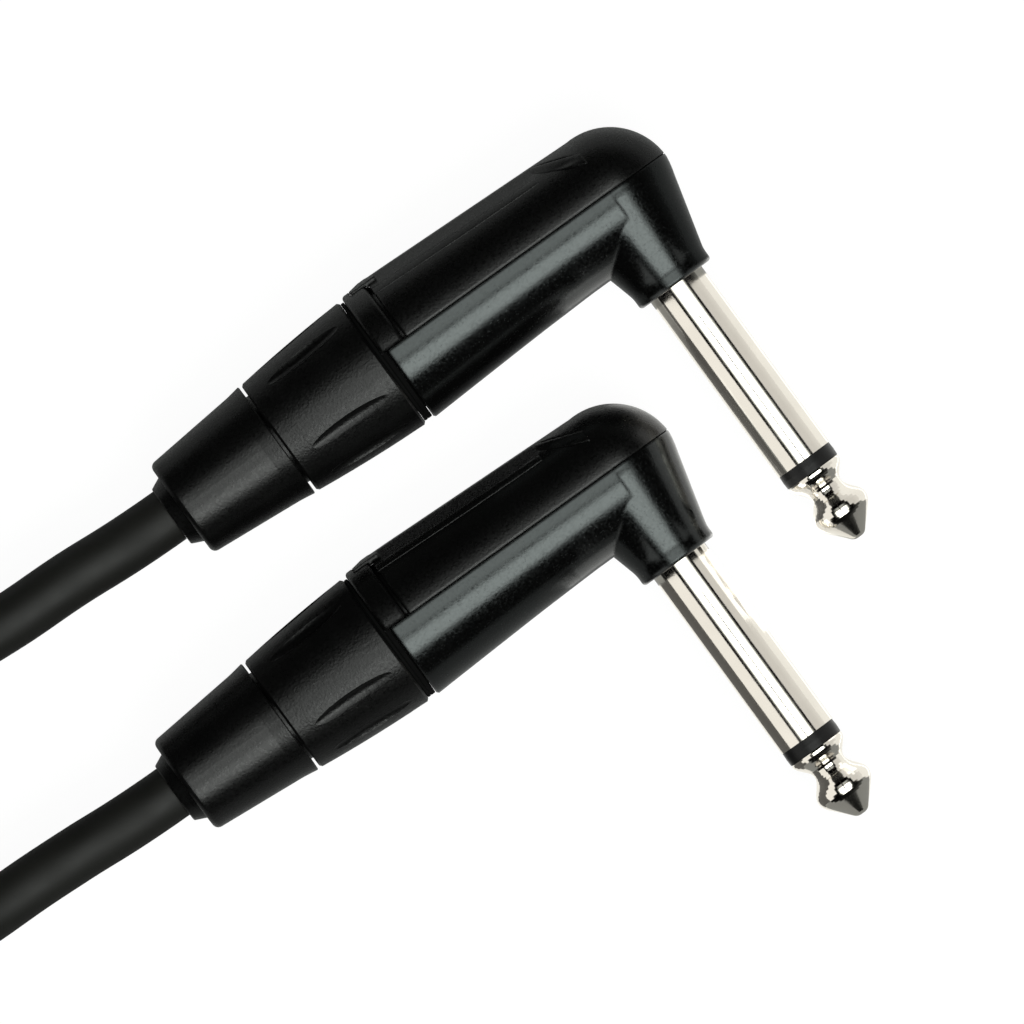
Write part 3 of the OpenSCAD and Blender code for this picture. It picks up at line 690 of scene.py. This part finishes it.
def threaded(mesh, middle, pitch, depth):
    """Cuts a thread into the plain tube of a collar's mesh, in place."""
    def on_tube(point):
        radius = math.hypot(point.y / MM - middle.y, point.z / MM - middle.z)
        return abs(radius - TUBE) < ON_TUBE and middle.x - point.x / MM > SEAT - ON_TUBE

    bm = bmesh.new()
    bm.from_mesh(mesh)
    plain = [face for face in bm.faces
             if abs(face.normal.x) < 0.1 and all(on_tube(v.co) for v in face.verts)]
    if not plain:
        raise RuntimeError("the collar has no plain tube for its thread")
    bmesh.ops.delete(bm, geom=plain, context="FACES")
    grid = []
    for back in spaced(SEAT, TUBE_END, THREAD_ROWS):
        cut = max(0, min(1, (back - SEAT) / THREAD_START, (TUBE_END - back) / THREAD_RUN_OUT))
        ring = []
        for i in range(THREAD_SIDES):
            share = ((back - SEAT) / pitch + i / THREAD_SIDES) % 1
            # flat crests, sloping flanks and a narrow root
            groove = min(max((0.5 - abs(share - 0.5)) * THREAD_FALL - THREAD_CREST, 0), 1)
            r = TUBE - depth * groove * cut
            angle = math.tau * i / THREAD_SIDES
            ring.append(bm.verts.new(Vector((
                middle.x - back, middle.y + r * math.cos(angle),
                middle.z + r * math.sin(angle))) * MM))
        grid.append(ring)
    for near, far in zip(grid, grid[1:]):
        band(bm, near, far)
    bmesh.ops.recalc_face_normals(bm, faces=bm.faces)
    bm.to_mesh(mesh)
    bm.free()


class CABLE_OT_collars(bpy.types.Operator):
    """Add the collars, each with the thread that its nut runs on"""

    bl_idname = "cable.collars"
    bl_label = "Threaded collars"

    def execute(self, context):
        sizes, colours, _ = settings(context)
        satin = material_named("satin_moulded_abs", satin_abs, colours.cover)
        for plug, middle in PLUGS.items():
            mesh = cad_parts[f"collar_{plug}"].data.copy()
            mesh.name = f"threaded_collar_{plug}"
            mesh.materials.clear()
            threaded(mesh, middle, sizes.thread_pitch / MM, sizes.thread_depth / MM)
            smooth(mesh, 30)
            collar = new_piece(f"threaded_collar_{plug}", mesh, satin, "cable")
            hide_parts(f"collar_{plug}")
        return {"FINISHED"}


# ---------- painted shade in the gaps ---

# The dark strip that paints the shade in the seam: how deep its outer and inner sides lie,
# and half its thickness
STRIP_OUTER = 0.14
STRIP_INNER = 0.48
STRIP_HALF = 0.055
# The dark lip that paints the shade in the slit round the tongue: its corners, as (along, up)
# with the way across it, half its thickness and half its length
LIP = ((-25.37, 7.01, 0, 1), (-25.65, 7.01, 1, 1), (-25.65, 7.31, 1, 1), (-27.4, 7.31, 1, 1),
       (-27.4, 7.74, 1, 0))
LIP_HALF = 0.045
LIP_REACH = 2.3
# The rings in the groove, all round beside the nut and wider under the shell's end: front, rear,
# The dark rings that paint the shade in the groove, all round beside the nut and wider under
# the shell's end: front, rear, the angle where they start and how far they go round
RINGS = ((28.38, 28.785, 0, 360), (27.86, 28.4, 85, 190))
# A ring's section: heights of its foot, its sides and its top over the shoulder, and what its
# edges lose
RING_RISES = (0.01, 0.14, 0.22)
RING_CUT = 0.08


def seam_outline():
    """The edge of a shell along its seam, as (along, sideways) with the way out of it."""
    side = [(Vector((-back, shell_radius(back))), Vector((0, 1)))
            for back in (COVER_END, 20, SHELL_MID, FLARE, 3, 0)]
    nose = []
    for angle in spaced(math.pi / 2, -math.pi / 2, 12)[1:-1]:
        way = Vector((math.cos(angle), math.sin(angle)))
        nose.append((way * SHELL_FRONT, way))
    other = [(Vector((at.x, -at.y)), Vector((way.x, -way.y))) for at, way in reversed(side)]
    return side + nose + other


def seam_shade_strip(bm, middle):
    """A dark strip along the seam, a little below the surface: painted shade in the seam's gap."""
    strip = []
    for spot, way in seam_outline():
        seam = SEAM - spot.x * SEAM_RISE
        low, high = seam - STRIP_HALF, seam + STRIP_HALF
        outer, inner = spot - way * STRIP_OUTER, spot - way * STRIP_INNER
        strip.append([plug_point(middle, *corner) for corner in (
            (outer.x, low, outer.y), (outer.x, high, outer.y),
            (inner.x, high, inner.y), (inner.x, low, inner.y))])
    sweep(bm, strip, closed=False)


def tongue_shade_lip(bm, middle):
    """A dark lip along the slit round the tongue: painted shade that fills its gap."""
    lip = [(x + along * LIP_HALF, y + up * LIP_HALF) for x, y, along, up in LIP]
    lip += [(x - along * LIP_HALF, y - up * LIP_HALF) for x, y, along, up in reversed(LIP)]
    sweep(bm, [[plug_point(middle, x, y, z) for x, y in lip] for z in (-LIP_REACH, LIP_REACH)],
          closed=False)


def groove_shade_ring(bm, middle, front, rear, start, turn):
    """A dark ring round the collar's shoulder, or a part of one: painted shade in the groove."""
    foot, side, top = [SHOULDER + rise for rise in RING_RISES]
    profile = [(front, foot), (front, side), (front + RING_CUT, top),
               (rear - RING_CUT, top), (rear, side), (rear, foot)]
    whole = turn == 360
    angles = spaced(start, start + turn, round(turn / 5))
    sweep(bm, [[plug_point(middle, -back, r * math.cos(angle), r * math.sin(angle))
                for back, r in profile]
               for angle in map(math.radians, angles[:-1] if whole else angles)], closed=whole)


class CABLE_OT_gap_shades(bpy.types.Operator):
    """Add dark fillers that paint the shade in the seams, round the tongue and beside the nut"""

    bl_idname = "cable.seals"
    bl_label = "Seals"

    def execute(self, context):
        _, colours, _ = settings(context)
        # Painted shade: one near-black material for the fillers in the seams, round the tongue and
        # in the groove
        dull = material_named("dull_sealing_rubber", plain_plastic, colours.seal, 0.85, 0.3, 10.0,
                              0.1)
        for plug, middle in PLUGS.items():
            bm = bmesh.new()
            seam_shade_strip(bm, middle)
            tongue_shade_lip(bm, middle)
            for ring in RINGS:
                groove_shade_ring(bm, middle, *ring)
            name = f"seals_{plug}"
            new_piece(name, finished_mesh(bm, name), dull, "cable")
        return {"FINISHED"}


# ---------- clamps, pins and wiring ----------

class CABLE_OT_clamps(bpy.types.Operator):
    """Finish the clamping nuts, boots and collets"""

    bl_idname = "cable.clamps"
    bl_label = "Nuts, boots and collets"

    def execute(self, context):
        _, colours, _ = settings(context)
        nylon = material_named("eroded_moulded_nylon", eroded_nylon, colours.nut)
        rubber = material_named("moulded_boot_rubber", moulded_rubber, colours.boot)
        acetal = material_named("moulded_acetal", plain_plastic, colours.acetal, 0.35)
        for plug in PLUGS:
            dress(f"clamp_nut_{plug}", nylon)
            dress(f"boot_{plug}", rubber)
            dress(f"collet_{plug}", acetal)
        return {"FINISHED"}


class CABLE_OT_pins(bpy.types.Operator):
    """Finish the pins: barrel, black ring and tip"""

    bl_idname = "cable.pins"
    bl_label = "Pins"

    def execute(self, context):
        _, colours, _ = settings(context)
        nickel = material_named("turned_nickel_plated_brass", plated_nickel, colours.nickel)
        black = material_named("moulded_black_insulator", plain_plastic, colours.insulator,
                               0.4, 0.3, 12.0, 0.2)
        for plug in PLUGS:
            dress(f"barrel_{plug}", nickel)
            dress(f"tip_{plug}", nickel)
            dress(f"insulator_{plug}", black)
        return {"FINISHED"}


class CABLE_OT_wiring(bpy.types.Operator):
    """Finish the tags, washers, wires and solder inside the plugs"""

    bl_idname = "cable.wiring"
    bl_label = "Wiring"

    def execute(self, context):
        _, colours, _ = settings(context)
        fibre = material_named("punched_vulcanised_fibre", plain_plastic, colours.fibre,
                               0.7, 0.3, 12.0)
        tin = material_named("tinned_brass", soft_metal, colours.tin, 0.32, 0.5, 4.0)
        core = material_named("extruded_core_insulation", plain_plastic, colours.core, 0.45)
        # twisted strands of 0.15 mm, drawn at 0.3 mm so that they show
        copper = material_named("bare_copper_strands", soft_metal, colours.copper,
                                0.35, 0.3, 30.0, (0.25, 1.0, 1.0))
        solder = material_named("set_solder", soft_metal, colours.solder, 0.28, 1.2, 20.0)
        for plug in PLUGS:
            dress(f"insulating_washer_{plug}", fibre)
            dress(f"tip_tag_{plug}", tin)
            dress(f"ground_tag_{plug}", tin)
            dress(f"core_{plug}", core)
            dress(f"screen_{plug}", copper)
            dress(f"solder_{plug}", solder)
        return {"FINISHED"}


# ---------- studio ----------

# Where the camera stands over the plugs, how far it is turned, and the width of its sensor
CAMERA_PLACE = (5.27, 8.87)
CAMERA_TURN = -36.1
SENSOR = 36
# Half the floor's side in metres, and how far it lies under the cable
FLOOR_HALF = 4.0
FLOOR_DROP = 0.05
# The paper, where it is seen: its tone as light falls on it, its brightness without light, and
# the share of that brightness when it is seen plainly and when a shiny surface mirrors it
PAPER_TONE = 0.95
PAPER_BRIGHTNESS = 1.02
PAPER_SEEN = 0.93
PAPER_MIRRORED = 0.06
# The softbox's two panels and its width, as angles from overhead: low edge, high edge, and how
# soft each of them is; and the near panel's share of the brightness
NEAR_PANEL = (-14, 12, 2.5, 11)
FAR_PANEL = (-45, -19, 5, 2.5)
SOFTBOX_WIDTH = (-22, 25, 7, 9)
NEAR_SHARE = 0.55
# The glow along the horizon: its strength to the right of the pins, behind the covers and all
# round, and the part of the way up at which it ends
GLOW_RIGHT = 0.14
GLOW_BEHIND = 0.04
GLOW_ROUND = 0.01
GLOW_TOP = 0.45
# Cards round each pin: name, place from the crossing of its plug's axes, size, the way it faces,
# and its share of the cards' brightness
CARDS = (
    ("left", (-8.2, -27.5, 7.8), (31, 9.4), (1, 0, 0), 1.0),
    ("right", (8.2, -27.5, 1.9), (31, 18.4), (-1, 0, 0), 0.7),
    ("under", (0, -28.5, -7.7), (21, 33), (0, 0, 1), 0.65),
    ("low", (-8.6, -27.5, -1.8), (31, 10), (1, 0, 0), 0.09),
)
# Black cards, as (place, size): one hangs over each pin, and one stands beside the second pin
OVERHEAD_FLAG = ((0, -30, 8), (0.45, 30, 0))
SIDE_FLAG = ((-9, -27.5, -1.8), (0, 31, 10))


def window(tree, value, low, high, low_soft, high_soft):
    """1 while an angle in degrees lies between two others, with soft edges."""
    sides = []
    for edge, soft, ends in ((low, low_soft, (0.0, 1.0)), (high, high_soft, (1.0, 0.0))):
        sides.append(add_node(tree, "ShaderNodeMapRange", {
            "Value": value, "From Min": math.radians(edge - soft),
            "From Max": math.radians(edge + soft), "To Min": ends[0], "To Max": ends[1]},
            interpolation_type="SMOOTHSTEP"))
    return add_node(tree, "ShaderNodeMath", {0: sides[0], 1: sides[1]}, operation="MULTIPLY")


def softbox_world(world, level):
    """A white studio, lit by one overhead softbox in two panels and by a dim horizon."""
    world.use_nodes = True
    tree = world.node_tree
    tree.nodes.clear()
    way = add_node(tree, "ShaderNodeSeparateXYZ", {
        0: add_node(tree, "ShaderNodeTexCoord").outputs["Generated"]})
    x, y, z = way.outputs
    aside = add_node(tree, "ShaderNodeMath", {0: x, 1: z}, operation="ARCTAN2")
    ahead = add_node(tree, "ShaderNodeMath", {0: y, 1: z}, operation="ARCTAN2")
    near = add_node(tree, "ShaderNodeMath", {
        0: window(tree, ahead, *NEAR_PANEL), 1: NEAR_SHARE}, operation="MULTIPLY")
    far = window(tree, ahead, *FAR_PANEL)
    panels = add_node(tree, "ShaderNodeMath", {0: near, 1: far}, operation="ADD")
    box = add_node(tree, "ShaderNodeMath", {
        0: panels, 1: window(tree, aside, *SOFTBOX_WIDTH)}, operation="MULTIPLY")
    # a dim glow along the horizon: to the right of the pins, and weaker behind the covers
    low_glow = add_node(tree, "ShaderNodeMapRange", {
        "Value": z, "From Min": 0.0, "From Max": GLOW_TOP, "To Min": 1.0, "To Max": 0.0})
    rightwards = add_node(tree, "ShaderNodeMath", {0: x, 1: 0.0}, operation="MAXIMUM")
    right = add_node(tree, "ShaderNodeMath", {0: rightwards, 1: GLOW_RIGHT}, operation="MULTIPLY")
    backwards = add_node(tree, "ShaderNodeMath", {0: y, 1: 0.0}, operation="MAXIMUM")
    behind = add_node(tree, "ShaderNodeMath", {0: backwards, 1: GLOW_BEHIND}, operation="MULTIPLY")
    sides = add_node(tree, "ShaderNodeMath", {0: right, 1: behind}, operation="ADD")
    around = add_node(tree, "ShaderNodeMath", {0: sides, 1: GLOW_ROUND}, operation="ADD")
    glow = add_node(tree, "ShaderNodeMath", {0: low_glow, 1: around}, operation="MULTIPLY")
    lit = add_node(tree, "ShaderNodeMath", {0: box, 1: level}, operation="MULTIPLY")
    strength = add_node(tree, "ShaderNodeMath", {0: lit, 1: glow}, operation="ADD")
    light = add_node(tree, "ShaderNodeBackground", {
        "Color": (*linear("fbfffb"), 1), "Strength": strength})
    # seen directly or through glass, the studio is plain white
    white = add_node(tree, "ShaderNodeBackground", {"Color": (1, 1, 1, 1), "Strength": 1.0})
    path = add_node(tree, "ShaderNodeLightPath")
    seen = add_node(tree, "ShaderNodeMath", {
        0: path.outputs["Is Camera Ray"], 1: path.outputs["Is Transmission Ray"]},
        operation="MAXIMUM")
    mix = add_node(tree, "ShaderNodeMixShader", {0: seen, 1: light, 2: white})
    add_node(tree, "ShaderNodeOutputWorld", {0: mix})


def paper_floor(base):
    """Matte paper: pale grey as light, and white with only a faint shadow where it is seen."""
    material = bpy.data.materials.new("matte_paper")
    material.use_nodes = True
    tree = material.node_tree
    tree.nodes.clear()
    place = add_node(tree, "ShaderNodeTexCoord").outputs["Object"]
    path = add_node(tree, "ShaderNodeLightPath")
    mirrored = add_node(tree, "ShaderNodeMath", {
        0: path.outputs["Is Glossy Ray"], 1: PAPER_MIRRORED}, operation="MULTIPLY")
    seen = add_node(tree, "ShaderNodeMath", {
        0: path.outputs["Is Camera Ray"], 1: path.outputs["Is Transmission Ray"]},
        operation="MAXIMUM")
    tone = add_node(tree, "ShaderNodeMixRGB", {
        0: seen, 1: (*base, 1), 2: (PAPER_TONE, PAPER_TONE, PAPER_TONE, 1)})
    paper = add_node(tree, "ShaderNodeBsdfDiffuse", {
        "Color": tone, "Normal": grain(tree, place, 0.6, 8.0), "Roughness": 0.5})
    white = add_node(tree, "ShaderNodeEmission", {
        "Color": (1, 1, 1, 1), "Strength": PAPER_BRIGHTNESS})
    lifted = add_node(tree, "ShaderNodeMath", {0: seen, 1: PAPER_SEEN, 2: mirrored},
                      operation="MULTIPLY_ADD")
    mix = add_node(tree, "ShaderNodeMixShader", {0: lifted, 1: paper, 2: white})
    add_node(tree, "ShaderNodeOutputMaterial", {0: mix})
    return material


def place_card(name, middle, size, towards, level):
    """A small lamp that stands like a white card by a pin; only reflections show it."""
    lamp = bpy.data.lights.new(name, "AREA")
    lamp.shape = "RECTANGLE"
    lamp.size, lamp.size_y = size[0] * MM, size[1] * MM
    lamp.energy = level * math.pi * lamp.size * lamp.size_y
    lamp.color = linear("fffefa")
    card = bpy.data.objects.new(name, lamp)
    bpy.context.scene.collection.objects.link(card)
    turn = (-Vector(towards)).to_track_quat("Z", "Y").to_matrix().to_4x4()
    card.matrix_world = Matrix.Translation(middle * MM) @ turn
    card.visible_camera = False
    card.visible_diffuse = False


def place_flag(middle, size):
    """A black card that stands beside a pin or hangs over it; only reflections show it."""
    corners = [Vector((size[0] * side, size[1] * end, size[2] * side)) / 2 * MM
               for side, end in ((-1, -1), (1, -1), (1, 1), (-1, 1))]
    mesh = bpy.data.meshes.new("black_flag")
    mesh.from_pydata(corners, [], [(0, 1, 2, 3)])
    mesh.materials.append(material_named("black_card", painted_card, linear("0c0c0c")))
    flag = bpy.data.objects.new("black_flag", mesh)
    flag.location = middle * MM
    bpy.context.scene.collection.objects.link(flag)
    flag.visible_camera = flag.visible_diffuse = flag.visible_shadow = False


class CABLE_OT_studio(bpy.types.Operator):
    """Set up the camera, the floor, the softbox and the cards beside the pins"""

    bl_idname = "cable.studio"
    bl_label = "Studio"

    def execute(self, context):
        _, _, studio = settings(context)
        scene = context.scene
        scene.view_settings.view_transform = "Standard"
        lens = bpy.data.cameras.new("camera")
        lens.lens, lens.sensor_width = studio.focal_length, SENSOR
        lens.clip_start, lens.clip_end = 0.1, 20
        camera = bpy.data.objects.new("camera", lens)
        scene.collection.objects.link(camera)
        away = studio.field / 2 / (lens.sensor_width / 2 / lens.lens)
        x, y = CAMERA_PLACE
        camera.location = (x * MM, y * MM, PLUGS["a"].z * MM + away)
        camera.rotation_euler = (0, 0, math.radians(CAMERA_TURN))
        scene.camera = camera

        mesh = bpy.data.meshes.new("floor")
        mesh.from_pydata([(FLOOR_HALF * x, FLOOR_HALF * y, 0)
                          for x, y in ((-1, -1), (1, -1), (1, 1), (-1, 1))], [], [(0, 1, 2, 3)])
        floor = bpy.data.objects.new("floor", mesh)
        floor.location.z = -FLOOR_DROP * MM
        mesh.materials.append(paper_floor(studio.floor))
        scene.collection.objects.link(floor)

        scene.world = bpy.data.worlds.new("studio")
        softbox_world(scene.world, studio.softbox)
        for plug, middle in PLUGS.items():
            for name, place, size, towards, share in CARDS:
                place_card(f"card_{plug}_{name}", middle + Vector(place), size, towards,
                           studio.card * share)
            place, size = OVERHEAD_FLAG
            place_flag(middle + Vector(place), size)
        place, size = SIDE_FLAG
        place_flag(PLUGS["b"] + Vector(place), size)
        return {"FINISHED"}


# ---------- panel and registration ----------

ORDER = ("studio", "cord", "ties", "housings", "collars", "seals", "clamps", "pins", "wiring")


class CABLE_PT_panel(bpy.types.Panel):
    """Sizes, colours and pieces of the cable"""

    bl_idname = "CABLE_PT_panel"
    bl_label = "Instrument cable"
    bl_space_type = "VIEW_3D"
    bl_region_type = "UI"
    bl_category = "Cable"

    def draw(self, context):
        for group in settings(context):
            box = self.layout.box()
            for key in group.__annotations__:
                box.prop(group, key)
        for name in ORDER:
            self.layout.operator(f"cable.{name}")


GROUPS = {"cable_sizes": CableSizes, "cable_colours": CableColours, "cable_studio": StudioSettings}
CLASSES = (CABLE_OT_studio, CABLE_OT_cord, CABLE_OT_ties, CABLE_OT_housings, CABLE_OT_collars,
           CABLE_OT_gap_shades, CABLE_OT_clamps, CABLE_OT_pins, CABLE_OT_wiring, CABLE_PT_panel)


def register():
    for name, group in GROUPS.items():
        bpy.utils.register_class(group)
        setattr(bpy.types.Scene, name, bpy.props.PointerProperty(type=group))
    for each in CLASSES:
        bpy.utils.register_class(each)


def unregister():
    for each in reversed(CLASSES):
        bpy.utils.unregister_class(each)
    for name, group in reversed(GROUPS.items()):
        delattr(bpy.types.Scene, name)
        bpy.utils.unregister_class(group)


def main():
    register()
    for name in ORDER:
        getattr(bpy.ops.cable, name)()


if __name__ == "__main__":
    main()
